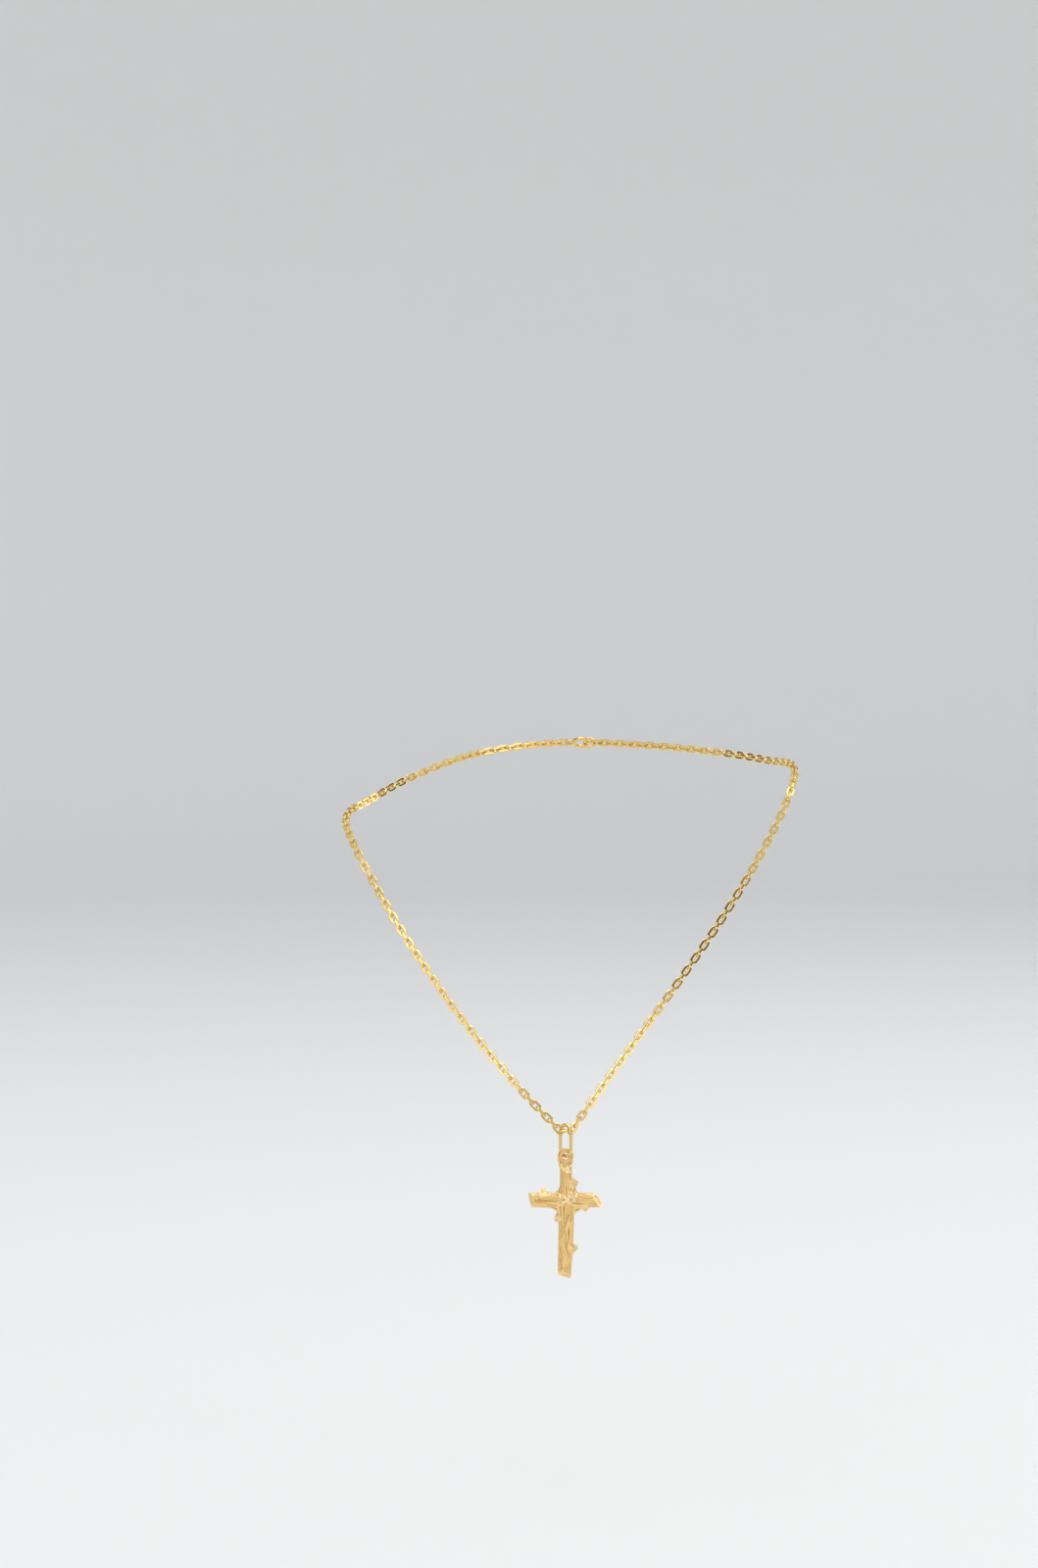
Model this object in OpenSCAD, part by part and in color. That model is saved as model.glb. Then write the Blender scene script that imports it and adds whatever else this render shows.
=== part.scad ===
// A cross necklace with the form it has when worn: a trace chain round the neck, and a cast
// log cross that hangs from the chain on an oval ring. The origin is the middle of the neck
// opening at the height of the shoulders, the front faces -Y and +Z is up, in millimetres.

/* [Chain] */
// Links between the middle link and the end ring, an odd number
right_links = 95; // [93:2:97]
// Links between the middle link and the clasp, an even number
left_links = 94; // [92:2:96]
// Outer width of a link
link_w = 2.34; // [2.3:0.02:2.4]
// Thickness of a link's filed wire
wire = 0.64; // [0.6:0.02:0.66]
// Clearance where one link hangs in the next
slack = 0.25; // [0.24:0.01:0.28]

/* [Neck loop] */
// Depth of the chain's lowest point below the origin
drop = 92.6; // [85:0.1:100]
// Distance of the lowest point in front of the origin
reach = 48; // [40:1:55]
// Half width of the loop on the right, where it crosses the shoulder
right_w = 69; // [60:0.5:75]
// Half width of the loop on the left
left_w = 65.5; // [60:0.5:75]
// Height of the right shoulder crossing above the origin
right_up = 8; // [0:1:12]
// Depth of the left shoulder crossing below the origin
left_down = 7; // [0:1:12]
// Distance of the nape behind the origin
nape = 65; // [62:0.5:68]
// Height of the nape above the origin
nape_up = 12; // [5:1:20]

/* [Oval ring] */
// Wire diameter of the oval ring
bail_wire = 0.98; // [0.8:0.02:1]
// Outer height of the oval ring
bail_h = 10; // [9:0.1:10.6]
// Outer width of the oval ring
bail_w = 5.8; // [5.7:0.05:6]
// Turn of the oval ring from the front about the vertical
bail_turn = 52; // [50:1:54]

/* [Cross] */
// Height of the logs under the loop
log_h = 33.7; // [31:0.1:37]
// Width of the cross over the arms
arm_span = 21.3; // [19:0.1:23]
// Thickness of the logs, front to back
log_d = 2.6; // [2.2:0.1:3]
// Depth of the bark's grooves
bark = 0.24; // [0.1:0.02:0.3]
// Outer diameter of the loop
loop_d = 4.6; // [4.5:0.05:4.8]
// Thickness of the loop
loop_wire = 1.28; // [1.1:0.02:1.3]

/* [Clasp] */
// Outer diameter of the clasp ring
clasp_d = 5.5; // [5.3:0.1:6]
// Thickness of the clasp ring
clasp_wire = 1.1; // [1:0.02:1.14]

/* [Hidden] */

// Small helpers
function unit(v) = v / norm(v);
function mix(a, b, t) = a + (b - a) * t;

// Loop of the chain: each side bows outwards as it climbs, then an ellipse passes the nape.
// A bow's two values are its strength at the bottom and what is added by the top.
RIGHT_BOW = [0.03, 0.4];
LEFT_BOW = [0.37, -0.07];
FORWARD_POWER = 1.5;
CLIMB_SHARES = [0, 0.12, 0.26, 0.4, 0.54, 0.68, 0.81, 0.92];
NAPE_ANGLES = [9, 27, 46, 67, 90, 113, 134, 153, 171];
FINE_STEPS = 24;

// Where the first link on each side begins, beside and below the middle link's centre
START_X = 1.25;
RIGHT_START_DROP = 0.45;
LEFT_START_DROP = 0.35;

function climb(side, width, bow, up, start_drop, t) = [
    side * (START_X + (width - START_X) * t * (1 + (1 - t) * (bow[0] + bow[1] * t))),
    -reach * (1 - pow(t, FORWARD_POWER)),
    -drop - start_drop + (drop + start_drop + up) * t
];
function climb_right(t) = climb(1, right_w, RIGHT_BOW, right_up, RIGHT_START_DROP, t);
function climb_left(t) = climb(-1, left_w, LEFT_BOW, -left_down, LEFT_START_DROP, t);
function nape_point(a) = [
    (cos(a) > 0 ? right_w : left_w) * cos(a),
    nape * sin(a),
    mix(cos(a) > 0 ? right_up : -left_down, nape_up, sin(a) * sin(a))
];

CONTROL = concat(
    [for (t = CLIMB_SHARES) climb_right(t)],
    [for (a = NAPE_ANGLES) nape_point(a)],
    [for (i = [len(CLIMB_SHARES) - 1:-1:0]) climb_left(CLIMB_SHARES[i])]
);

// A smooth curve through the control points
function between(a, b, c, d, t) =
    b + (c - a) * t / 2 + (2 * a - 5 * b + 4 * c - d) * t * t / 2
    + (3 * b - a - 3 * c + d) * t * t * t / 2;
LAST = len(CONTROL) - 1;
CURVE = concat(
    [for (i = [0:LAST - 1], k = [0:FINE_STEPS - 1])
        between(
            i == 0 ? 2 * CONTROL[0] - CONTROL[1] : CONTROL[i - 1],
            CONTROL[i],
            CONTROL[i + 1],
            i == LAST - 1 ? 2 * CONTROL[LAST] - CONTROL[LAST - 1] : CONTROL[i + 2],
            k / FINE_STEPS
        )],
    [CONTROL[LAST]]
);
STEPS = [for (i = [1:len(CURVE) - 1]) norm(CURVE[i] - CURVE[i - 1])];
REACHED = [for (i = 0, s = 0; i < len(CURVE); s = s + (i < len(STEPS) ? STEPS[i] : 0), i = i + 1) s];
TRACK = [for (axis = [0:2]) [for (i = [0:len(CURVE) - 1]) [REACHED[i], CURVE[i][axis]]]];
function along(s) = [lookup(s, TRACK[0]), lookup(s, TRACK[1]), lookup(s, TRACK[2])];
loop_length = REACHED[len(REACHED) - 1];

// Lean of the links' flat sides, from facing forward (0) over facing up (90), by the distance
// behind the origin
LEAN = [[-48, 0], [-20, 18], [0, 50], [25, 90], [62, 125]];
function outward(p) = [p[0] / 200, -cos(lookup(p[1], LEAN)), sin(lookup(p[1], LEAN))];

// Clasp, its eye and the end ring
END_CORE = 1.55;
END_WIRE = 0.7;
EYE_CORE = 1.05;
EYE_WIRE = 0.64;
EYE_AT = 3.5;
clasp_core = (clasp_d - clasp_wire) / 2;
end_inner = END_CORE - END_WIRE / 2;
eye_inner = EYE_CORE - EYE_WIRE / 2;
clasp_inner = clasp_core - clasp_wire / 2;
end_to_clasp = end_inner + clasp_inner - slack;
eye_reach = EYE_AT + eye_inner;

// Every link is as long as the whole loop asks for
fixed_length = end_inner + end_to_clasp + eye_reach - slack;
pitch = (loop_length - fixed_length) / (right_links + left_links);
link_inner = pitch + slack;
end_ring_at = right_links * pitch + end_inner - slack / 2;
clasp_at = end_ring_at + end_to_clasp;

// Places a child so that its long side runs from one point to the next and its flat side
// faces outwards, or sideways where it is turned
module strung(from, to, turned) {
    centre = (from + to) / 2;
    x = unit(to - from);
    out = outward(centre);
    flat = unit(out - x * (out * x));
    z = turned ? cross(x, flat) : flat;
    y = cross(z, x);
    multmatrix([
        [x[0], y[0], z[0], centre[0]],
        [x[1], y[1], z[1], centre[1]],
        [x[2], y[2], z[2], centre[2]]
    ])
        children();
}

// Section of the filed wire: a square with its four edges taken off
FILED_EDGE = 0.13;
module filed_section() {
    h = wire / 2;
    e = h - FILED_EDGE;
    polygon([[h, -e], [h, e], [e, h], [-e, h], [-h, e], [-h, -e], [-e, -h], [e, -h]]);
}

// One link, flat in XY with its length along X: two straight bars and two half circles. Half
// a bar's length is kept to a thousandth, so that bars and half circles meet exactly.
module link() {
    core = (link_w - wire) / 2;
    long = round(1000 * (link_inner + wire - 2 * core) / 2) / 1000;
    for (side = [-1, 1]) {
        translate([-long, side * core, 0])
            rotate([90, 0, 90])
                linear_extrude(2 * long) filed_section();
        translate([side * long, 0, 0])
            rotate([0, 0, side * 90 - 180])
                rotate_extrude(angle = 180, $fn = 48) translate([core, 0]) filed_section();
    }
}

// A plain round ring, flat in XY
module round_ring(core, thick) {
    rotate_extrude($fn = 64) translate([core, 0]) circle(d = thick, $fn = 24);
}

middle_at = [0, -reach, -drop];
middle_half = [link_inner / 2, 0, 0];

module chain_right() {
    color("goldenrod") {
        strung(middle_at - middle_half, middle_at + middle_half, true) link();
        for (i = [1:right_links])
            strung(along((i - 1) * pitch), along(i * pitch), i % 2 == 0) link();
        strung(along(end_ring_at - end_inner), along(end_ring_at + end_inner), true)
            round_ring(END_CORE, END_WIRE);
    }
}

module chain_left() {
    color("goldenrod")
        for (i = [1:left_links])
            strung(along(loop_length - (i - 1) * pitch), along(loop_length - i * pitch), i % 2 == 0)
                link();
}

module clasp_ring() {
    color("goldenrod")
        strung(along(clasp_at - clasp_inner), along(clasp_at + eye_reach), false)
            translate([(clasp_inner - eye_reach) / 2, 0, 0]) {
                round_ring(clasp_core, clasp_wire);
                translate([EYE_AT, 0, 0]) round_ring(EYE_CORE, EYE_WIRE);
            }
}

// Oval ring: two half circles joined by straight wire. It turns about the middle of the
// upper half circle.
bail_core = (bail_w - bail_wire) / 2;
bail_straight = bail_h - bail_w;
BAIL_SINK = 0.75;
bail_pivot = middle_at - [0, 0, BAIL_SINK];

module bail_ring() {
    color("gold")
        translate(bail_pivot)
            rotate([0, 0, -bail_turn]) {
                for (side = [-1, 1])
                    translate([side * bail_core, 0, -bail_straight])
                        cylinder(d = bail_wire, h = bail_straight, $fn = 32);
                for (half = [[0, 0], [-bail_straight, 180]])
                    translate([0, 0, half[0]])
                        rotate([90, half[1], 0])
                            rotate_extrude(angle = 180, $fn = 64)
                                translate([bail_core, 0]) circle(d = bail_wire, $fn = 24);
            }
}

// The lowest point of the oval ring's wire passes through the middle of the cross's loop
loop_core = (loop_d - loop_wire) / 2;
loop_at = bail_pivot - [0, 0, bail_straight + bail_core];

// Logs: the section is a rounded front over a flatter back, with more points at the front,
// where grooves wander along the bark
FRONT_SIDES = 26;
BACK_SIDES = 6;
LOG_STEP = 1.05;
FRONT_SHARE = 0.58;
FRONT_ROUNDNESS = [0.75, 0.8];
BACK_ROUNDNESS = 0.45;
GROOVES = 5.5;
SECTION = concat(
    [for (k = [0:FRONT_SIDES - 1]) 180 * k / FRONT_SIDES],
    [for (k = [0:BACK_SIDES - 1]) 180 + 180 * k / BACK_SIDES]
);
SIDES = len(SECTION);
function signed_power(v, p) = sign(v) * pow(abs(v), p);

// Height of the bark over the plain log at an angle round it and a place along it: rounded
// ridges with narrow grooves between them, which drift sideways and fade in and out
function bark_lift(a, s) =
    let (
        drift = a + 12 * sin(31 * s) + 8 * sin(67 * s + a),
        fade = 0.75 + 0.25 * sin(49 * s + 3 * a)
    )
    bark * (fade * (abs(sin(GROOVES * drift)) - 0.75) + 0.3 * sin(75 * s + 2 * a));
function section_point(a, s, half_w, depth) =
    let (front = sin(a) > 0.01, lift = front ? bark_lift(a, s) : 0)
    [
        half_w * signed_power(cos(a), FRONT_ROUNDNESS[0]) + lift * cos(a),
        depth * (
            front
                ? log_d * FRONT_SHARE * pow(sin(a), FRONT_ROUNDNESS[1]) + lift * sin(a)
                : -log_d * (1 - FRONT_SHARE) * pow(abs(sin(a)), BACK_ROUNDNESS)
        )
    ];

// One log along X with its front towards +Z. The table's columns are the place along the log,
// its half width there, how far its middle lies to the side and its share of the full depth.
// A cut's two values are how far the end leans along the log for each mm sideways and each
// mm to the front.
module log(table, start_cut, end_cut, seed) {
    length = table[len(table) - 1][0] - table[0][0];
    rings = ceil(length / LOG_STEP);
    columns = [for (c = [1:3]) [for (row = table) [row[0], row[c]]]];
    points = [for (i = [0:rings], a = SECTION)
        let (
            s = table[0][0] + length * i / rings,
            p = section_point(a, s + seed, lookup(s, columns[0]), lookup(s, columns[2])),
            cut = mix(start_cut, end_cut, i / rings)
        )
        [s + cut * p, p[0] + lookup(s, columns[1]), p[1]]];
    walls = [for (i = [0:rings - 1], k = [0:SIDES - 1])
        let (n = (k + 1) % SIDES, b = i * SIDES, t = b + SIDES)
        each [[b + k, t + k, t + n], [b + k, t + n, b + n]]];
    start_face = [for (k = [0:SIDES - 1]) k];
    end_face = [for (k = [SIDES - 1:-1:0]) rings * SIDES + k];
    polyhedron(points, concat(walls, [start_face, end_face]), convexity = 6);
}

// Stem, from its top at the loop: place, half width, middle, share of the depth
STEM_TOP = 1.7;
STEM = [
    [0, 1.6, 0, 0.35],
    [0.6, 1.9, 0, 0.5],
    [1.4, 1.85, 0, 0.8],
    [2.6, 1.68, 0.05, 0.95],
    [4.2, 1.66, 0.08, 1],
    [6.4, 1.72, 0.1, 1],
    [11.2, 2.05, 0.15, 1],
    [16.2, 2.18, 0.2, 1],
    [21.2, 2.12, 0.1, 1],
    [26.2, 2, -0.1, 1],
    [32.7, 1.86, -0.4, 1]
];
STEM_END_CUT = [0.32, -0.55];

// Arm, from its left end: place, half width, middle, share of the depth
ARM_DEPTH = 12.7;
ARM = [
    [-9.8, 2, 0, 1],
    [-5, 2.08, 0, 1],
    [0, 2.14, 0, 1],
    [5, 2.08, 0.02, 1],
    [9.1, 1.98, 0.05, 1]
];
ARM_LEFT_CUT = [-0.22, 0.52];
ARM_RIGHT_CUT = [-0.56, -0.52];
ARM_BARK_START = 50;

// Sawn-off side shoots: where each leaves the log, its direction, length, base and tip radius
SHOOTS = [
    [[-6.35, -10.8], 93, 0.75, 1.65, 0.85],
    [[5.5, -14.4], -88, 0.95, 1.75, 0.75],
    [[-2, -17.9], 202, 0.8, 1.55, 0.7],
    [[1.8, -26.5], 6, 1.15, 1.85, 0.8],
    [[1.4, -7.75], 3, 1.65, 2.05, 0.85]
];
SHOOT_FRONT = 0.15;
SHOOT_ROOT = 0.8;
// Depth of a shoot as a share of its width
SHOOT_FLAT = 0.75;
// The cut faces of the shoots lean this far to the front
SHOOT_CUT = 40;
SHOOT_SIDES = 14;

// Fillets in the four corners of the crossing: corner, and its reach along arm and stem
WEBS = [
    [[-1.8, -10.7], [-1.5, 1.4]],
    [[1.9, -10.7], [2, 1.7]],
    [[-2.1, -14.7], [-2.3, -2.4]],
    [[2.1, -14.7], [1.9, -2]]
];
WEB_D = 1.9;
WEB_STEPS = 6;
WEB_INSET = 0.6;

// Beads on the crossing and lumps of the collar under the loop: place, half width, half
// height, lean and how far the middle lies to the front
LUMPS = [
    [[-1.6, -11.2], 0.78, 0.72, 0, 1.3],
    [[3, -11.2], 0.78, 0.72, 0, 1.2],
    [[-1.05, -2.95], 0.42, 1.05, -24, 1],
    [[0.4, -3.15], 0.62, 0.72, 0, 1.05],
    [[1.35, -2.6], 0.42, 0.42, 0, 0.75],
    [[0.6, -4.3], 0.8, 0.52, 12, 1.15]
];
LUMP_DEPTH = 0.6;
LUMP_SIDES = 16;

// Lashing: the places each strand passes, all within the crossing
STRANDS = [
    [[-0.8, -10.9], [-0.2, -11.7], [0.7, -12.9], [1.7, -13.6], [2.7, -14.1]],
    [[1.5, -11.1], [0.9, -12], [0, -12.8], [-1, -13.4], [-2, -14.1]],
    [[1.2, -10.1], [1.7, -10.8], [2.1, -11.6], [2.4, -12.4], [2.6, -13.2]]
];
STRAND_R = 0.4;
STRAND_FRONT = 1.62;
STRAND_SINK = 0.75;
STRAND_SIDES = 8;

function in_front(p, y) = [p[0], -y, p[1]];

module shoot(row) {
    length = row[2];
    base = row[3];
    tip = row[4];
    reach = SHOOT_ROOT + length;
    over = tip * tan(SHOOT_CUT);
    translate(in_front(row[0], SHOOT_FRONT))
        rotate([0, 90 - row[1], 0])
            scale([1, SHOOT_FLAT, 1])
                difference() {
                    translate([0, 0, -SHOOT_ROOT])
                        cylinder(
                            h = reach + over,
                            r1 = base,
                            r2 = tip - (base - tip) * over / reach,
                            $fn = SHOOT_SIDES
                        );
                    translate([0, 0, length])
                        rotate([SHOOT_CUT, 0, 0])
                            translate([-base, -3 * base, 0]) cube([2 * base, 6 * base, 2 * base]);
                }
}

module lump(row) {
    translate(in_front(row[0], row[4]))
        rotate([0, row[3], 0])
            scale([row[1], LUMP_DEPTH, row[2]]) sphere(1, $fn = LUMP_SIDES);
}

module web(row) {
    corner = row[0];
    size = row[1];
    inner = corner - [for (v = size) sign(v) * WEB_INSET];
    rim = [for (k = [0:WEB_STEPS])
        let (a = 90 * k / WEB_STEPS)
        corner + [size[0] * (1 - sin(a)), size[1] * (1 - cos(a))]];
    rotate([90, 0, 0])
        linear_extrude(WEB_D, center = true)
            polygon(concat(
                [inner, [corner[0] + size[0], inner[1]]],
                rim,
                [[inner[0], corner[1] + size[1]]]
            ));
}

// A rounded strand that lies over the crossing and sinks into the bark at its two ends
module strand(places) {
    last = len(places) - 1;
    points = [for (i = [0:last], k = [0:STRAND_SIDES - 1])
        let (
            d = unit(places[min(i + 1, last)] - places[max(i - 1, 0)]),
            a = 360 * k / STRAND_SIDES,
            y = STRAND_FRONT - STRAND_SINK * pow(2 * i / last - 1, 2)
        )
        in_front(places[i] + STRAND_R * cos(a) * [-d[1], d[0]], y + STRAND_R * sin(a))];
    walls = [for (i = [0:last - 1], k = [0:STRAND_SIDES - 1])
        let (n = (k + 1) % STRAND_SIDES, b = i * STRAND_SIDES, t = b + STRAND_SIDES)
        each [[b + k, t + n, b + n], [b + k, t + k, t + n]]];
    start_face = [for (k = [0:STRAND_SIDES - 1]) k];
    end_face = [for (k = [STRAND_SIDES - 1:-1:0]) last * STRAND_SIDES + k];
    polyhedron(points, concat(walls, [start_face, end_face]), convexity = 4);
}

module log_body() {
    translate([0, 0, -STEM_TOP])
        rotate([90, 90, 0]) log(STEM, [0, 0], STEM_END_CUT, 0);
    translate([0, 0, -ARM_DEPTH])
        rotate([90, 0, 0]) log(ARM, ARM_LEFT_CUT, ARM_RIGHT_CUT, ARM_BARK_START);
    for (row = SHOOTS) shoot(row);
    for (row = WEBS) web(row);
    for (row = LUMPS) lump(row);
    for (places = STRANDS) strand(places);
}

module cross_pendant() {
    color("gold")
        translate(loop_at) {
            rotate([90, 0, 0]) round_ring(loop_core, loop_wire);
            resize([arm_span, 0, log_h]) log_body();
        }
}

chain_right();
chain_left();
clasp_ring();
bail_ring();
cross_pendant();
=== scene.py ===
# %% [markdown]
# # A gold cross necklace
# The necklace has the form it has when it is worn. The chain, the clasp and the oval ring's place
# come from the imported model, which is the fixed frame. This script adds what a caster and a
# polisher would add: the bark on the cross, its soldered loop, and the finish of each kind of
# gold. Everything is in metres in the frame's own axes: -Y is the front and +Z is up.
#
# We load the frame first and keep its box, so that the finished cross can be fitted to it.

import math

import bmesh
import bpy
from mathutils import Matrix, Vector, noise


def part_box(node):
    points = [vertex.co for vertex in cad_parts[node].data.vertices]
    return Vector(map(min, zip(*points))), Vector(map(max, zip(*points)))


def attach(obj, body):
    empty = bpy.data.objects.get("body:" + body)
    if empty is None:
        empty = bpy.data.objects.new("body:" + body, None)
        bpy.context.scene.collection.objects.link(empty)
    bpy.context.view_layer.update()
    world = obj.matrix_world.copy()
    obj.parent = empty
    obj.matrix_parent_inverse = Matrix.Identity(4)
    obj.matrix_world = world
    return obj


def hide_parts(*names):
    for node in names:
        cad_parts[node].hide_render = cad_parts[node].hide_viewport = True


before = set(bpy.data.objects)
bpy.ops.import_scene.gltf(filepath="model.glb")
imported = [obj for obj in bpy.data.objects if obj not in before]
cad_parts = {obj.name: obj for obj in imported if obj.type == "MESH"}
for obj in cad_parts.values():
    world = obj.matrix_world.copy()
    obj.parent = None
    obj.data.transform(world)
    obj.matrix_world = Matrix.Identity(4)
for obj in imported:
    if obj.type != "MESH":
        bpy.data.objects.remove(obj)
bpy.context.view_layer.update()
cross_low, cross_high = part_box("cross_pendant")
MM = 0.001
print("frame nodes:", sorted(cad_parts))
print("cross box in mm:", [round(v / MM, 2) for v in (*cross_low, *cross_high)])

# %% [markdown]
# ## The camera
# A long lens far away keeps the two sides of a small object in proportion. It could be placed
# with a tracking constraint, but a position and a rotation worked out from two angles and a
# distance are easier to read back. The frame's long side is the upright one, so the sensor's
# width counts for the height of the picture.

# %% Camera level with the middle of the chain
VIEW_CENTRE = Vector((-13.4, -48, 7.2)) * MM
VIEW_HEIGHT = 448 * MM
VIEW_DISTANCE = 1.5
VIEW_RISE = math.radians(4)
SENSOR = 36

camera_data = bpy.data.cameras.new("camera")
camera_data.sensor_width = SENSOR
camera_data.lens = SENSOR * VIEW_DISTANCE / VIEW_HEIGHT
camera = bpy.data.objects.new("camera", camera_data)
towards_camera = Vector((0, -math.cos(VIEW_RISE), math.sin(VIEW_RISE)))
camera.location = VIEW_CENTRE + VIEW_DISTANCE * towards_camera
camera.rotation_euler = (math.radians(90) - VIEW_RISE, 0, 0)
bpy.context.scene.collection.objects.link(camera)
bpy.context.scene.camera = camera
print("lens in mm:", round(camera_data.lens, 1))

# %% [markdown]
# ## Small helpers for shapes
# Each shape starts as a bmesh, is worked in millimetres with operators, and becomes an object at
# the origin in metres at the very end. Keeping that last step in one function means that no
# piece is left scaled or turned, which the export needs.

# %% From a bmesh to an object
MERGE_DISTANCE = 1e-5


def finish_mesh(name, bm, at):
    """Turn a bmesh in millimetres round a place in the frame into an object at the origin."""
    bmesh.ops.remove_doubles(bm, verts=bm.verts, dist=MERGE_DISTANCE)
    bmesh.ops.recalc_face_normals(bm, faces=bm.faces)
    bmesh.ops.scale(bm, vec=(MM, MM, MM), verts=bm.verts)
    bmesh.ops.translate(bm, vec=at, verts=bm.verts)
    mesh = bpy.data.meshes.new(name)
    bm.to_mesh(mesh)
    bm.free()
    for polygon in mesh.polygons:
        polygon.use_smooth = True
    made = bpy.data.objects.new(name, mesh)
    bpy.context.scene.collection.objects.link(made)
    print(name, "has", len(mesh.vertices), "points and", len(mesh.polygons), "faces")
    return made


print("points closer than", MERGE_DISTANCE, "mm will be merged")

# %% [markdown]
# Two small functions come back again and again. One fades softly from 0 to 1, for masks that
# should have no hard edge. The other reads a table of measures between its rows. Blender has
# nodes for both, but as plain functions they can be used on the points of a mesh.

# %% Fades and tables
def smooth_step(low, high, value):
    """Rise from 0 to 1 between two values, level at both ends."""
    share = min(1, max(0, (value - low) / (high - low)))
    return share * share * (3 - 2 * share)


def read_table(table, column, place):
    """Straight-line value of a column of a table whose first column is the place."""
    if place <= table[0][0]:
        return table[0][column]
    for before, after in zip(table, table[1:]):
        if place <= after[0]:
            share = (place - before[0]) / (after[0] - before[0])
            return before[column] + share * (after[column] - before[column])
    return table[-1][column]


print("a fade at a quarter of its way:", smooth_step(0, 1, 0.25))

# %% [markdown]
# ## The studio
# Polished gold shows what stands round it, so the studio is part of the finish. A round sweep,
# a floor that curves up into a wall, has no corner or horizon from any side. It could be a box
# of planes, but a profile spun round the middle makes it in one step. The wall darkens towards
# its top, so that the metal has something dark to mirror next to the bright lamps.

# %% Round sweep, spun from a profile
FLOOR_Z = -0.191
SWEEP_RADIUS = 2.4
SWEEP_CURVE = 0.5
SWEEP_TOP = 1.7
SWEEP_STEPS = 96
CURVE_STEPS = 12

bm = bmesh.new()
profile = [bm.verts.new((0, 0, 0))]
for step in range(CURVE_STEPS + 1):
    turn = math.pi / 2 * step / CURVE_STEPS
    out = SWEEP_RADIUS - SWEEP_CURVE + SWEEP_CURVE * math.sin(turn)
    profile.append(bm.verts.new((out, 0, SWEEP_CURVE * (1 - math.cos(turn)))))
profile.append(bm.verts.new((SWEEP_RADIUS, 0, SWEEP_TOP)))
for before, after in zip(profile, profile[1:]):
    bm.edges.new((before, after))
bmesh.ops.spin(
    bm, geom=bm.verts[:] + bm.edges[:], axis=(0, 0, 1), cent=(0, 0, 0),
    angle=2 * math.pi, steps=SWEEP_STEPS, use_merge=True, use_duplicate=False,
)
bmesh.ops.scale(bm, vec=(1 / MM, 1 / MM, 1 / MM), verts=bm.verts)
sweep = finish_mesh("studio_sweep", bm, Vector((0, 0, FLOOR_Z)))

# %% [markdown]
# Five soft boxes light the piece: a large one from the upper left as the key, a broad weak one
# close to the camera that fills every face turned to us, a narrow one on the right that draws
# the edges of the links, and one overhead and one behind. Area lamps give soft shadows and
# long clean reflections, which point lamps can't. Each wears a grid, which keeps its light from
# grazing the floor under it. A pale, slightly blue air fills what the boxes leave dark.

# %% Soft boxes and air
GRID_SPREAD = math.radians(160)
LAMPS = [
    # name, place, width, height, power
    ("key_light", (-0.75, -1.5, 0.75), 1.3, 1.1, 4),
    ("front_light", (0.5, -1.9, 0.35), 1.1, 0.7, 2.2),
    ("edge_light", (1.25, -0.75, 0.6), 0.35, 0.9, 1.1),
    ("top_light", (0.1, 0.2, 1.55), 1.6, 1.4, 8.3),
    ("back_light", (1.2, 0.9, 0.5), 0.7, 0.6, 2.3),
]
for name, place, width, height, power in LAMPS:
    lamp = bpy.data.lights.new(name, "AREA")
    lamp.shape = "RECTANGLE"
    lamp.size = width
    lamp.size_y = height
    lamp.energy = power
    lamp.spread = GRID_SPREAD
    lamp_object = bpy.data.objects.new(name, lamp)
    lamp_object.location = place
    aim = VIEW_CENTRE - Vector(place)
    lamp_object.rotation_euler = aim.to_track_quat("-Z", "Y").to_euler()
    bpy.context.scene.collection.objects.link(lamp_object)

AIR_COLOUR = (0.95, 0.97, 1, 1)
AIR_STRENGTH = 0.8
world = bpy.data.worlds.new("studio_air")
world.use_nodes = True
air = world.node_tree.nodes["Background"]
air.inputs["Color"].default_value = AIR_COLOUR
air.inputs["Strength"].default_value = AIR_STRENGTH
bpy.context.scene.world = world
bpy.context.scene.view_settings.view_transform = "Standard"
print("soft boxes:", len(LAMPS))

# %% [markdown]
# ## Shader maths in plain expressions
# A finish is a small calculation at every point of the surface. Written as linked nodes it is
# hard to read, so one class wraps a socket and lets us write `1 - mask * 0.5`. Each operation
# still adds an ordinary Math node.

# %% A value that can be used in arithmetic
class Signal:
    """A value socket that can be used in arithmetic. Each operation adds a Math node."""

    def __init__(self, finish, socket):
        self.finish = finish
        self.socket = socket

    def maths(self, operation, *values, clamp=False):
        settings = {"operation": operation, "use_clamp": clamp}
        return self.finish.node("ShaderNodeMath", settings, dict(enumerate(values)))

    def __add__(self, other):
        return self.maths("ADD", self, other)

    def __sub__(self, other):
        return self.maths("SUBTRACT", self, other)

    def __rsub__(self, other):
        return self.maths("SUBTRACT", other, self)

    def __mul__(self, other):
        return self.maths("MULTIPLY", self, other)

    __radd__ = __add__
    __rmul__ = __mul__

    def clamped(self):
        return self.maths("ADD", self, 0, clamp=True)


print("a value can be added, subtracted, multiplied and clamped")

# %% [markdown]
# A second class stands for a material under construction. The same nodes could be linked by
# hand in the shader editor, but here each takes one line and gives a value to go on with.

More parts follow.
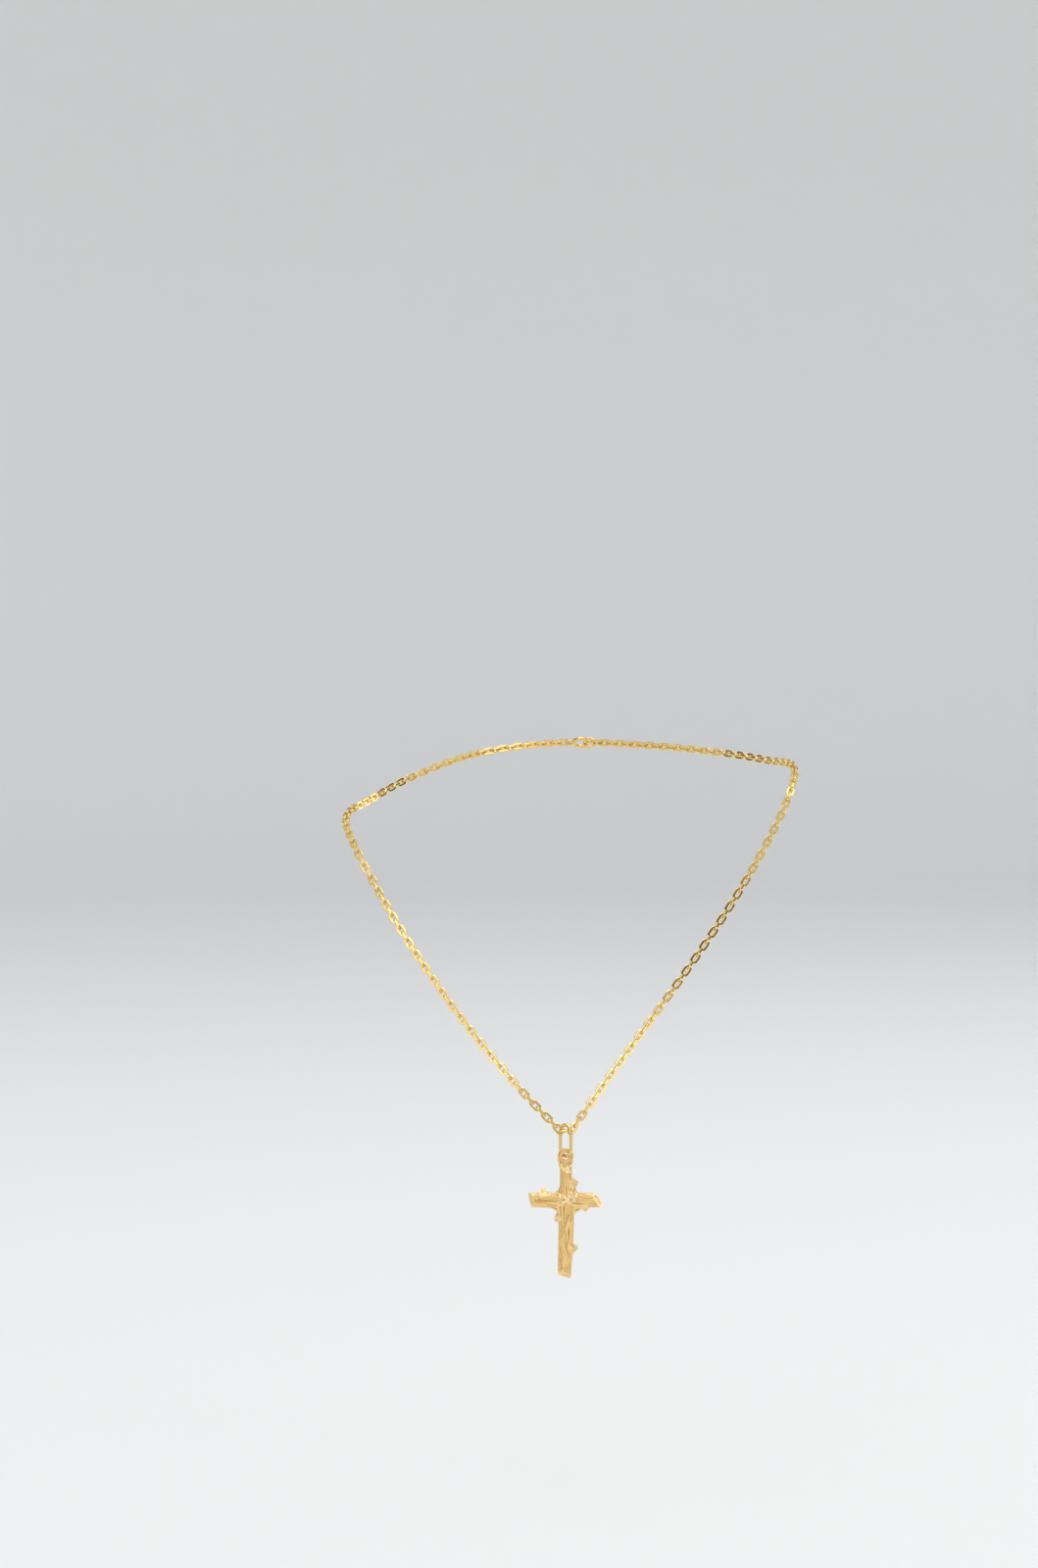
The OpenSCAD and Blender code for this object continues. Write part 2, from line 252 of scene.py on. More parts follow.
# %% A finish under construction
class Finish:
    """A material under construction: node() adds one node and gives its output."""

    def __init__(self, name):
        self.material = bpy.data.materials.new(name)
        self.material.use_nodes = True
        self.tree = self.material.node_tree
        self.shader = self.tree.nodes["Principled BSDF"]

    def node(self, kind, settings=None, inputs=None, output=0):
        made = self.tree.nodes.new(kind)
        for key, value in (settings or {}).items():
            setattr(made, key, value)
        for key, value in (inputs or {}).items():
            self.feed(made.inputs[key], value)
        return Signal(self, made.outputs[output])

    def feed(self, socket, value):
        if isinstance(value, Signal):
            self.tree.links.new(value.socket, socket)
        else:
            socket.default_value = value

    def surface(self, **values):
        """Sockets of the main shader, with underscores for the spaces in their names."""
        for key, value in values.items():
            self.feed(self.shader.inputs[key.replace("_", " ")], value)

    def place(self):
        return self.node("ShaderNodeTexCoord", output="Object")

    def grain(self, scale, detail=3, rough=0.55, place=None):
        """Fractal noise with its scale in features per metre."""
        return self.node("ShaderNodeTexNoise", {}, {
            "Vector": place or self.place(), "Scale": scale, "Detail": detail, "Roughness": rough,
        })

    def mixed(self, amount, first, second):
        settings = {"data_type": "RGBA"}
        inputs = {"Factor": amount, 6: first, 7: second}
        return self.node("ShaderNodeMix", settings, inputs, output=2)

    def bump(self, height, distance, strength):
        inputs = {"Height": height, "Distance": distance, "Strength": strength}
        return self.node("ShaderNodeBump", {}, inputs)


print("patterns and mixes at hand: grain, mixed and bump")

# %% [markdown]
# The sweep is matt paper. One flat colour would do for the floor, but the wall needs its darker
# top, so two greys are mixed by the height of the point.

# %% Paper, darker towards the top of the wall
PAPER_PALE = (0.88, 0.88, 0.87, 1)
PAPER_DARK = (0.12, 0.12, 0.13, 1)
DARK_FROM = 0.45
DARK_TO = 0.8
PAPER_ROUGHNESS = 0.95

paper = Finish("studio_paper")
height = paper.node("ShaderNodeSeparateXYZ", {}, {0: paper.place()}, output="Z")
rise = paper.node("ShaderNodeMapRange", {"interpolation_type": "SMOOTHSTEP"}, {
    "Value": height, "From Min": DARK_FROM, "From Max": DARK_TO, "To Min": 0, "To Max": 1,
})
paper.surface(
    Base_Color=paper.mixed(rise, PAPER_PALE, PAPER_DARK), Roughness=PAPER_ROUGHNESS)
sweep.data.materials.append(paper.material)
print("paper darkens from", DARK_FROM, "to", DARK_TO, "metres")

# %% [markdown]
# ## Three finishes of one metal
# The whole necklace is yellow gold, but it doesn't look like one metal. The links are filed flat
# and polished, so they are deep yellow with sharp bright flats. The oval ring is drawn wire with
# fine lines along it. The cross comes out of a mould with a fine sandy skin, paler because a
# rough skin scatters the light.
#
# Polished metal could be one colour and a low roughness. Real polish has hairlines and slightly
# duller patches from wear, so the roughness varies slowly and a faint bump breaks the mirror.

# %% Chain gold: filed and polished
CHAIN_GOLD = (0.92, 0.68, 0.25, 1)
CHAIN_GOLD_DEEP = (0.8, 0.55, 0.16, 1)
POLISHED = 0.09
WORN_ROUGHER = 0.14
PATCHES_PER_METRE = 260
HAIRLINES_PER_METRE = 5200
HAIRLINE_DEPTH = 0.02 * MM
HAIRLINE_STRENGTH = 0.35

chain_gold = Finish("chain_gold_polished")
patches = chain_gold.grain(PATCHES_PER_METRE, 2)
hairlines = chain_gold.grain(HAIRLINES_PER_METRE, 2, 0.7)
chain_gold.surface(
    Base_Color=chain_gold.mixed(patches, CHAIN_GOLD_DEEP, CHAIN_GOLD),
    Metallic=1.0,
    Roughness=POLISHED + WORN_ROUGHER * patches * hairlines,
    Normal=chain_gold.bump(hairlines, HAIRLINE_DEPTH, HAIRLINE_STRENGTH),
)
for node in ("chain_right", "chain_left", "clasp_ring"):
    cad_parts[node].data.materials.clear()
    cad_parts[node].data.materials.append(chain_gold.material)
print("chain finish on 3 nodes")

# %% [markdown]
# The oval ring's drawing lines run round the wire's length. The pattern is stretched along the
# ring's height, where most of the wire runs, so the noise becomes long streaks.

# %% Ring gold: drawn wire
RING_GOLD = (0.9, 0.67, 0.29, 1)
RING_GOLD_DEEP = (0.78, 0.54, 0.19, 1)
DRAWN = 0.14
LINES_ROUGHER = 0.12
LINES_PER_METRE = 9000
LINE_SQUEEZE = 0.06
LINE_DEPTH = 0.02 * MM
LINE_STRENGTH = 0.4
CLOUDS_PER_METRE = 420

ring_gold = Finish("ring_gold_drawn")
stretched = ring_gold.node(
    "ShaderNodeMapping", {}, {"Vector": ring_gold.place(), "Scale": (1, 1, LINE_SQUEEZE)})
lines = ring_gold.grain(LINES_PER_METRE, 2, 0.6, stretched)
clouds = ring_gold.grain(CLOUDS_PER_METRE, 2)
ring_gold.surface(
    Base_Color=ring_gold.mixed(clouds, RING_GOLD_DEEP, RING_GOLD),
    Metallic=1.0,
    Roughness=DRAWN + LINES_ROUGHER * lines,
    Normal=ring_gold.bump(lines, LINE_DEPTH, LINE_STRENGTH),
)
print("drawn lines at", LINES_PER_METRE, "per metre")

# %% [markdown]
# The cast cross reads three masks that the shape stores at its points: how deep a point lies in
# a groove, where a sawn end was filed flat, and where beads and lashing stand proud and take the
# polish. Grooves get painted shade, a dark brown mixed into their colour, and are made duller.
# Sawn ends and polished parts get a painted highlight, a paler gold mixed into their colour. The
# fine sand fades where the metal was filed or polished.

# %% Cross gold: cast satin with painted shade in the grooves and painted highlights
CAST_GOLD = (0.98, 0.71, 0.325, 1)
CAST_GOLD_DEEP = (0.92, 0.61, 0.235, 1)
GROOVE_SHADE_BROWN = (0.36, 0.18, 0.05, 1)
HIGHLIGHT_GOLD = (0.99, 0.83, 0.5, 1)
CUT_HIGHLIGHT = 0.12
PROUD_HIGHLIGHT = 0.75
GROOVE_SHADE_STRENGTH = 0.95
SATIN = 0.27
SAND_ROUGHER = 0.16
GROOVE_ROUGHER = 0.22
CUT_ROUGHER = 0.06
PROUD_SMOOTHER = 0.1
SAND_PER_METRE = 7000
SAND_DEPTH = 0.05 * MM
SAND_STRENGTH = 0.5
SAND_WORN_OFF = 0.9
BLOTCHES_PER_METRE = 700

cast_gold = Finish("cross_gold_cast")
groove, cut, proud_polish_and_highlight = (
    cast_gold.node("ShaderNodeAttribute", {"attribute_name": mask}, output="Fac")
    for mask in ("groove", "cut", "proud_polish_and_highlight"))
sand = cast_gold.grain(SAND_PER_METRE, 4, 0.65)
blotches = cast_gold.grain(BLOTCHES_PER_METRE, 3)
skin = cast_gold.mixed(blotches, CAST_GOLD_DEEP, CAST_GOLD)
# Painted highlight: sawn ends and polished parts get a paler gold mixed into their colour
painted_highlight = (CUT_HIGHLIGHT * cut + PROUD_HIGHLIGHT * proud_polish_and_highlight).clamped()
skin = cast_gold.mixed(painted_highlight, skin, HIGHLIGHT_GOLD)
# Painted shade: grooves and dishes get a dark brown mixed into their colour
skin = cast_gold.mixed((groove * GROOVE_SHADE_STRENGTH).clamped(), skin, GROOVE_SHADE_BROWN)
rough = SATIN + SAND_ROUGHER * sand + GROOVE_ROUGHER * groove + CUT_ROUGHER * cut
rough = (rough - PROUD_SMOOTHER * proud_polish_and_highlight).clamped()
sand_left = 1 - SAND_WORN_OFF * (cut + proud_polish_and_highlight).clamped()
cast_gold.surface(
    Base_Color=skin,
    Metallic=1.0,
    Roughness=rough,
    Normal=cast_gold.bump(sand * sand_left, SAND_DEPTH, SAND_STRENGTH),
)
print("cast finish reads the masks groove, cut and proud")

# %% [markdown]
# ## The oval ring
# It is one piece of round wire bent to an oval and soldered. A curve with a bevel could make it.
# Here a circle, the wire's section, is spun half a turn, extruded straight down, spun the other
# half and extruded back up, which is how the wire is bent round two pins. It hangs in the
# chain's lowest link and is turned about 50 degrees from the front.

# %% Oval ring, spun and extruded
RING_WIRE = 0.98
RING_HEIGHT = 10
RING_WIDTH = 5.8
RING_TURN = 52
RING_PIVOT = Vector((0, -48, -93.35)) * MM
WIRE_SIDES = 24
BEND_STEPS = 40
RING_MERGE = 1e-3

ring_core = (RING_WIDTH - RING_WIRE) / 2
ring_straight = RING_HEIGHT - RING_WIDTH

bm = bmesh.new()
section = bmesh.ops.create_circle(bm, segments=WIRE_SIDES, radius=RING_WIRE / 2, cap_ends=False)
bmesh.ops.translate(bm, vec=(ring_core, 0, 0), verts=section["verts"])
end = bm.verts[:] + bm.edges[:]
for centre_z, drop in ((0, -ring_straight), (-ring_straight, ring_straight)):
    bent = bmesh.ops.spin(
        bm, geom=end, axis=(0, -1, 0), cent=(0, 0, centre_z),
        angle=math.pi, steps=BEND_STEPS, use_merge=False, use_duplicate=False,
    )
    edges = [g for g in bent["geom_last"] if isinstance(g, bmesh.types.BMEdge)]
    drawn = bmesh.ops.extrude_edge_only(bm, edges=edges)
    end = [g for g in drawn["geom"] if not isinstance(g, bmesh.types.BMFace)]
    points = [g for g in end if isinstance(g, bmesh.types.BMVert)]
    bmesh.ops.translate(bm, vec=(0, 0, drop), verts=points)
bmesh.ops.remove_doubles(bm, verts=bm.verts, dist=RING_MERGE)
bmesh.ops.rotate(
    bm, verts=bm.verts, cent=(0, 0, 0), matrix=Matrix.Rotation(math.radians(-RING_TURN), 3, "Z"))
oval_ring = finish_mesh("oval_ring", bm, RING_PIVOT)
oval_ring.data.materials.append(ring_gold.material)
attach(oval_ring, "bail")
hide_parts("bail_ring")

# %% [markdown]
# ## The loop on the cross
# A cast loop with a thin outer rim, a groove and a thick inner rim, soldered to the top of the
# stem. A torus would be too plain, so its round section gets a dent at the front and the back
# before it is spun a full turn. The full turn merges its last ring of points with its first.

# %% Loop with a double rim
LOOP_OUTER = 4.6
LOOP_THICK = 1.28
LOOP_AT = Vector((0, -48, -99.96)) * MM
RIM_DENT = 0.42
RIM_DENT_WIDTH = 0.17
RIM_DENT_AT = 0.3
RIM_GROOVE_SHADE = 0.5
RIM_SWELL = 1.06
LOOP_SIDES = 48
LOOP_STEPS = 96

loop_core = (LOOP_OUTER - LOOP_THICK) / 2
bm = bmesh.new()
bmesh.ops.create_circle(bm, segments=LOOP_SIDES, radius=LOOP_THICK / 2, cap_ends=False)


def rim_groove(radius):
    """1 in the groove between the two rims and 0 on them, for a distance from the middle."""
    across = (radius - loop_core) / (LOOP_THICK / 2) - RIM_DENT_AT
    return math.exp(-((across / RIM_DENT_WIDTH) ** 2))


for point in bm.verts:
    point.co.y *= RIM_SWELL - RIM_DENT * rim_groove(loop_core + point.co.x)
bmesh.ops.translate(bm, vec=(loop_core, 0, 0), verts=bm.verts)
bmesh.ops.spin(
    bm, geom=bm.verts[:] + bm.edges[:], axis=(0, 1, 0), cent=(0, 0, 0),
    angle=2 * math.pi, steps=LOOP_STEPS, use_merge=True, use_duplicate=False,
)
# Painted shade: the groove between the rims goes into the groove mask, which the finish darkens
groove_layer = bm.verts.layers.float.new("groove")
for point in bm.verts:
    point[groove_layer] = RIM_GROOVE_SHADE * rim_groove(math.hypot(point.co.x, point.co.z))
cross_loop = finish_mesh("cross_loop", bm, LOOP_AT)

# %% [markdown]
# ## The cast cross
# The model for the mould was made from rough logs with cut-off shoots, blended where they meet.
# Separate cylinders pushed into one another would show hard seams. So the logs, shoots, corner
# fillets, beads and lashing are first made as simple closed forms, then a voxel remesh melts
# them into one skin, and the bark is cut into that skin point by point.
#
# The tables give the logs' measures in millimetres from the loop's centre, as in the solids.

# %% Measures of the logs
LOG_DEPTH = 2.6
FRONT_SHARE = 0.58
FRONT_ROUNDNESS = (0.75, 0.8)
BACK_ROUNDNESS = 0.45
LOG_SIDES = 48
LOG_STEP = 0.4

STEM_TOP = 1.7
STEM = [
    # place, half width, middle, share of the depth
    (0, 1.6, 0, 0.35),
    (0.6, 1.9, 0, 0.5),
    (1.4, 1.85, 0, 0.8),
    (2.6, 1.68, 0.05, 0.95),
    (4.2, 1.66, 0.08, 1),
    (6.4, 1.72, 0.1, 1),
    (11.2, 2.05, 0.15, 1),
    (16.2, 2.18, 0.2, 1),
    (21.2, 2.12, 0.1, 1),
    (26.2, 2, -0.1, 1),
    (32.7, 1.86, -0.4, 1),
]
STEM_CUTS = ((0, 0), (0.32, -0.55))
ARM_DEPTH = 12.7
ARM = [
    (-9.8, 2, 0, 1),
    (-5, 2.08, 0, 1),
    (0, 2.14, 0, 1),
    (5, 2.08, 0.02, 1),
    (9.1, 1.98, 0.05, 1),
]
ARM_CUTS = ((-0.22, 0.52), (-0.56, -0.52))
print("stem from", len(STEM), "rows and arm from", len(ARM))

# %% [markdown]
# Each log starts as a capped cylinder whose long edges are cut into rings. Every point then
# moves to its place on the log's section: rounded at the front and flatter at the back. The
# slanted ends come from sliding the rings along the log.

# %% Plain log
def signed_power(value, power):
    return math.copysign(abs(value) ** power, value)


def add_log(bm, table, cuts):
    """A plain log along X with its front towards +Z."""
    length = table[-1][0] - table[0][0]
    there = len(bm.verts)
    made = bmesh.ops.create_cone(
        bm, cap_ends=True, cap_tris=False, segments=LOG_SIDES, radius1=1, radius2=1, depth=1)
    long_edges = {e for point in made["verts"] for e in point.link_edges
                  if abs(e.verts[0].co.z - e.verts[1].co.z) > 0.5}
    bmesh.ops.subdivide_edges(
        bm, edges=list(long_edges), cuts=round(length / LOG_STEP), use_grid_fill=True)
    points = bm.verts[there:]
    for point in points:
        share = point.co.z + 0.5
        place = table[0][0] + length * share
        side, front = point.co.x, point.co.y
        across = read_table(table, 1, place) * signed_power(side, FRONT_ROUNDNESS[0])
        depth = LOG_DEPTH * read_table(table, 3, place)
        if front > 0:
            up = depth * FRONT_SHARE * front ** FRONT_ROUNDNESS[1]
        else:
            up = -depth * (1 - FRONT_SHARE) * abs(front) ** BACK_ROUNDNESS
        lean = [cuts[0][k] + share * (cuts[1][k] - cuts[0][k]) for k in (0, 1)]
        along = place + lean[0] * across + lean[1] * up
        point.co = (along, across + read_table(table, 2, place), up)
    return points


print("a log has", LOG_SIDES, "sides and a ring every", LOG_STEP, "mm")

# %% [markdown]
# The same function makes the stem and the arm. A log lies along X with its front up, so the stem
# is turned to run down and the arm to stay level, each with its front towards the viewer.

# %% Stem and arm
# Where the log's X, Y and Z axes go: each column is one of them in the cross's axes
STEM_TURN = Matrix(((0, 1, 0), (0, 0, -1), (-1, 0, 0)))
ARM_TURN = Matrix(((1, 0, 0), (0, 0, -1), (0, 1, 0)))

cross_form = bmesh.new()
stem_points = add_log(cross_form, STEM, STEM_CUTS)
bmesh.ops.rotate(cross_form, verts=stem_points, cent=(0, 0, 0), matrix=STEM_TURN)
bmesh.ops.translate(cross_form, verts=stem_points, vec=(0, 0, -STEM_TOP))
arm_points = add_log(cross_form, ARM, ARM_CUTS)
bmesh.ops.rotate(cross_form, verts=arm_points, cent=(0, 0, 0), matrix=ARM_TURN)
bmesh.ops.translate(cross_form, verts=arm_points, vec=(0, 0, -ARM_DEPTH))
print("two logs of", len(cross_form.verts), "points")

# %% [markdown]
# The shoots are short cones, and each leans the way the twig grew. They are a little flat from
# front to back. A saw cut them off at a slant that faces the viewer, so the cones are made too
# long, cut with a plane and closed again.

# %% Sawn-off shoots
SHOOTS = [
    # x, z, direction, length, base radius, tip radius
    (-6.5, -10.8, 93, 1.05, 2, 1),
    (5.5, -14.4, -88, 1.25, 2.1, 0.75),
    (-2, -18, 207, 0.95, 1.95, 0.7),
    (1.9, -26.55, 5, 1.2, 2.25, 0.8),
    (1.4, -7.75, 3, 1.75, 2.5, 0.9),
]
SHOOT_FRONT = 0.1
SHOOT_ROOT = 0.8
SHOOT_FLAT = 0.68
SHOOT_CUT = math.radians(40)
SHOOT_SIDES = 24


def shoot_seat(x, z, direction):
    """Places a cone along Z so that it leaves the log in the shoot's direction, and flattens it."""
    turn = Matrix.Rotation(math.radians(90 - direction), 4, "Y")
    flatten = Matrix.Diagonal((1, SHOOT_FLAT, 1, 1))
    return Matrix.Translation((x, -SHOOT_FRONT, z)) @ turn @ flatten


for x, z, direction, length, base, tip in SHOOTS:
    seat = shoot_seat(x, z, direction)
    reach = SHOOT_ROOT + length
    over = tip * math.tan(SHOOT_CUT)
    middle = Matrix.Translation((0, 0, (reach + over) / 2 - SHOOT_ROOT))
    cone = bmesh.ops.create_cone(
        cross_form, cap_ends=True, cap_tris=False, segments=SHOOT_SIDES, radius1=base,
        radius2=tip - (base - tip) * over / reach, depth=reach + over, matrix=seat @ middle)
    saw = seat @ Matrix.Translation((0, 0, length)) @ Matrix.Rotation(SHOOT_CUT, 4, "X")
    parts = {g for v in cone["verts"] for g in (v, *v.link_edges, *v.link_faces)}
    sawn = bmesh.ops.bisect_plane(
        cross_form, geom=list(parts), dist=MERGE_DISTANCE, plane_co=saw.translation,
        plane_no=saw.to_3x3().inverted().transposed() @ Vector((0, 0, 1)), clear_outer=True)
    rim = [g for g in sawn["geom_cut"] if isinstance(g, bmesh.types.BMEdge)]
    bmesh.ops.edgeloop_fill(cross_form, edges=rim)
print("shoots:", len(SHOOTS))

# %% [markdown]
# Two beads sit on the crossing. Under the loop the caster's model had a collar of uneven lumps,
# and a little solder fills the corners between loop and stem. All are balls that are squeezed,
# leaned and half sunk in the metal.

# %% Beads and lumps
LUMPS = [
    # x, z, half width, half height, lean, middle to the front
    (-1.6, -11.2, 0.78, 0.72, 0, 1.3),
    (3, -11.2, 0.78, 0.72, 0, 1.2),
    (-1.05, -2.95, 0.42, 1.05, -24, 1),
    (0.4, -3.15, 0.62, 0.72, 0, 1.05),
    (1.35, -2.6, 0.42, 0.42, 0, 0.75),
    (0.6, -4.3, 0.8, 0.52, 12, 1.15),
]
SOLDER = [
    (-1.8, -1.5, 0.4, 0.7, -14, 0),
    (1.72, -1.6, 0.4, 0.6, 14, 0),
]
LUMP_DEPTH = 0.6
LUMP_SEGMENTS = 20
LUMP_RINGS = 12


def lump_seat(x, z, half_width, half_height, lean, front):
    """Turns a ball of radius 1 into a lump."""
    turn = Matrix.Rotation(math.radians(lean), 4, "Y")
    squeeze = Matrix.Diagonal((half_width, LUMP_DEPTH, half_height, 1))
    return Matrix.Translation((x, -front, z)) @ turn @ squeeze


for row in LUMPS + SOLDER:
    bmesh.ops.create_uvsphere(
        cross_form, u_segments=LUMP_SEGMENTS, v_segments=LUMP_RINGS, radius=1,
        matrix=lump_seat(*row))
print("beads and lumps:", len(LUMPS))

# %% [markdown]
# Each strand of the lashing is a rod that follows a few points over the crossing and sinks into
# the bark at both ends. A curve with a round bevel could make it, but a rod that is extruded and
# turned from point to point stays in the same bmesh as the logs.

# %% Lashing
STRANDS = [
    [(-0.8, -10.9), (-0.2, -11.7), (0.7, -12.9), (1.7, -13.6), (2.7, -14.1)],
    [(1.5, -11.1), (0.9, -12), (0, -12.8), (-1, -13.4), (-2, -14.1)],
    [(1.2, -10.1), (1.7, -10.8), (2.1, -11.6), (2.4, -12.4), (2.6, -13.2)],
]
STRAND_RADIUS = 0.4
STRAND_FRONT = 1.62
STRAND_SINK = 0.75
STRAND_SIDES = 12


def strand_places(places):
    """The strand's middle line, lower at its two ends."""
    last = len(places) - 1
    return [Vector((x, STRAND_SINK * (2 * i / last - 1) ** 2 - STRAND_FRONT, z))
            for i, (x, z) in enumerate(places)]


def add_rod(bm, line, radius, sides):
    """A rod through the points of a line: a circle, extruded and turned from point to point."""
    ring = bmesh.ops.create_circle(bm, segments=sides, radius=radius, cap_ends=True)["verts"]
    heading = Vector((0, 0, 1))
    edges = list({e for v in ring for e in v.link_edges if all(w in ring for w in e.verts)})
    edges = [e for e in edges if len(e.link_faces) == 1]
    at = Vector((0, 0, 0))
    for i, place in enumerate(line):
        onward = (line[min(i + 1, len(line) - 1)] - line[max(i - 1, 0)]).normalized()
        if i:
            grown = bmesh.ops.extrude_edge_only(bm, edges=edges)["geom"]
            ring = [g for g in grown if isinstance(g, bmesh.types.BMVert)]
            edges = [g for g in grown if isinstance(g, bmesh.types.BMEdge)
                     and all(v in ring for v in g.verts)]
        turn = heading.rotation_difference(onward).to_matrix()
        bmesh.ops.rotate(bm, verts=ring, cent=at, matrix=turn)
        bmesh.ops.translate(bm, verts=ring, vec=place - at)
        heading, at = onward, place
    bmesh.ops.contextual_create(bm, geom=edges)


for places in STRANDS:
    add_rod(cross_form, strand_places(places), STRAND_RADIUS, STRAND_SIDES)
print("strands:", len(STRANDS))

# %% [markdown]
# The four inner corners of the crossing are filled, so that wax and metal flow. The corner
# under the highest shoot has a second, fuller fillet. Each fillet is the outline of a corner
# with a round bite taken out, one face that is extruded to a slab.

# %% Corner fillets
FILLETS = [
    # corner x and z, reach along the arm and the stem
    (-1.8, -10.7, -2.4, 1.5),
    (1.9, -10.7, 2, 1.7),
    (2.8, -10.7, 1.3, 2),
    (-2.1, -14.7, -2.7, -2.6),
    (2.1, -14.7, 5.2, -3),
]
FILLET_DEPTH = 1.9
FILLET_INSET = 1.2
FILLET_STEPS = 8
for x, z, reach_x, reach_z in FILLETS:
    inner_x = x - math.copysign(FILLET_INSET, reach_x)
    inner_z = z - math.copysign(FILLET_INSET, reach_z)
    outline = [(inner_x, inner_z), (x + reach_x, inner_z)]
    for step in range(FILLET_STEPS + 1):
        turn = math.pi / 2 * step / FILLET_STEPS
        outline.append((x + reach_x * (1 - math.sin(turn)), z + reach_z * (1 - math.cos(turn))))
    outline.append((inner_x, z + reach_z))
    face = cross_form.faces.new(
        [cross_form.verts.new((px, -FILLET_DEPTH / 2, pz)) for px, pz in outline])
    slab = bmesh.ops.extrude_face_region(cross_form, geom=[face], use_keep_orig=True)["geom"]
    bmesh.ops.translate(
        cross_form, vec=(0, FILLET_DEPTH, 0),
        verts=[g for g in slab if isinstance(g, bmesh.types.BMVert)])
bmesh.ops.recalc_face_normals(cross_form, faces=cross_form.faces)
print("fillets:", len(FILLETS))

# %% [markdown]
# The remesh works on an object, so the form becomes one for a moment. Its voxels are small
# enough to hold the bark's grooves. A few rounds of smoothing then soften the seams.

# %% Melt the forms into one skin
VOXEL = 0.09
SMOOTH_ROUNDS = 5
SMOOTH_SHARE = 0.5

rough_mesh = bpy.data.meshes.new("cross_rough")
cross_form.to_mesh(rough_mesh)
cross_form.free()
rough = bpy.data.objects.new("cross_rough", rough_mesh)
bpy.context.scene.collection.objects.link(rough)
melt = rough.modifiers.new("melt", "REMESH")
melt.mode = "VOXEL"
melt.voxel_size = VOXEL
skin_mesh = bpy.data.meshes.new_from_object(
    rough.evaluated_get(bpy.context.evaluated_depsgraph_get()))
bpy.data.objects.remove(rough)
bm = bmesh.new()
bm.from_mesh(skin_mesh)
for _ in range(SMOOTH_ROUNDS):
    bmesh.ops.smooth_vert(
        bm, verts=bm.verts, factor=SMOOTH_SHARE,
        use_axis_x=True, use_axis_y=True, use_axis_z=True)
print("skin:", len(bm.verts), "points")

# %% [markdown]
# ## Bark
# Bark splits along the log. Noise alone gives lumps with no direction, so the grooves are waves
# round the log, bent by slow noise along it, and each groove fades in and out on its own. Near
# the diagonals of the crossing the two logs' patterns swap. Sawn ends, shoots, beads and lashing
# stay clear of grooves.

# %% Height of the bark
GROOVE_SPACING = 0.78
GROOVE_DEPTH = 0.19
GROOVE_WIDTH = 0.58
FINE_SPACING = 0.43
FINE_DEPTH = 0.06
FINE_GROOVE_SHADE = 0.4
FINE_SEED = 40
BENDS = [
    # size in mm, scale along the log, scale round it, seed
    (1.3, 0.15, 0.3, 0),
    (0.3, 0.5, 0.9, 5),
]
FADE_SCALE = 0.3
FADE_STEP = 3.7
FADE_SEED = 9
FADE = (-0.45, 0.15)


def groove_lines(around, along, spacing, seed):
    """1 in the middle of a groove and 0 between grooves, for a place on the unrolled bark."""
    bend = sum(
        size * noise.noise(Vector((along * lengthwise, around * crosswise, seed + own)))
        for size, lengthwise, crosswise, own in BENDS)
    phase = (around + bend) / spacing
    line = 1 - smooth_step(0, GROOVE_WIDTH, abs(math.sin(math.pi * phase)))
    number = math.floor(phase + 0.5)
    fade = noise.noise(Vector((along * FADE_SCALE, number * FADE_STEP, seed + FADE_SEED)))
    return line * smooth_step(*FADE, fade)


def bark(around, along, seed):
    """Height in mm and groove mask of the bark at a place on the unrolled log."""
    coarse = groove_lines(around, along, GROOVE_SPACING, seed)
    fine = groove_lines(around, along, FINE_SPACING, seed + FINE_SEED)
    height = -GROOVE_DEPTH * coarse - FINE_DEPTH * fine * (1 - coarse)
    # The groove mask becomes painted shade in the cross's finish, less of it for the fine grooves
    return height, max(coarse, FINE_GROOVE_SHADE * fine)


print("bark grooves every", GROOVE_SPACING, "mm with finer ones every", FINE_SPACING, "mm")

# %% [markdown]
# A few marks are too particular for a pattern: a long groove on the left arm, a slanting split
# under the crossing, small pits near the foot, and a lens-shaped knot with a groove round it.
# Each is a distance worked out at every point, which gives a height and painted shade in the
# groove. The knot's lens is also polished and gets a painted highlight.

# %% Split, pits and knot
MARKS = [
    # x and z of the two ends, half width, depth
    (-7.2, -12.8, -5.2, -12.6, 0.16, 0.2),
    (-5.2, -12.6, -2.4, -12.95, 0.13, 0.16),
    (0.85, -16.6, -0.25, -20.2, 0.15, 0.22),
    (-1.15, -31.8, -1, -32.5, 0.14, 0.2),
    (-0.6, -31.9, -0.5, -32.4, 0.12, 0.16),
    (-0.1, -24.6, 0.1, -26.2, 0.14, 0.16),
]
KNOT_AT = (-8.15, -12.2)
KNOT_SIZE = (0.85, 0.38)
KNOT_HEIGHT = 0.24
KNOT_GROOVE = 0.16
KNOT_GROOVE_AT = 1.1
KNOT_GROOVE_WIDTH = 0.25
KNOT_GROOVE_FADE = (-1, 0.6)
KNOT_TOP = (0.3, 1)
KNOT_RING_SHADE = 0.8


def distance_to_line(p, first, second):
    run = second - first
    share = min(1, max(0, (p - first).dot(run) / run.length_squared))
    return (p - first - share * run).length


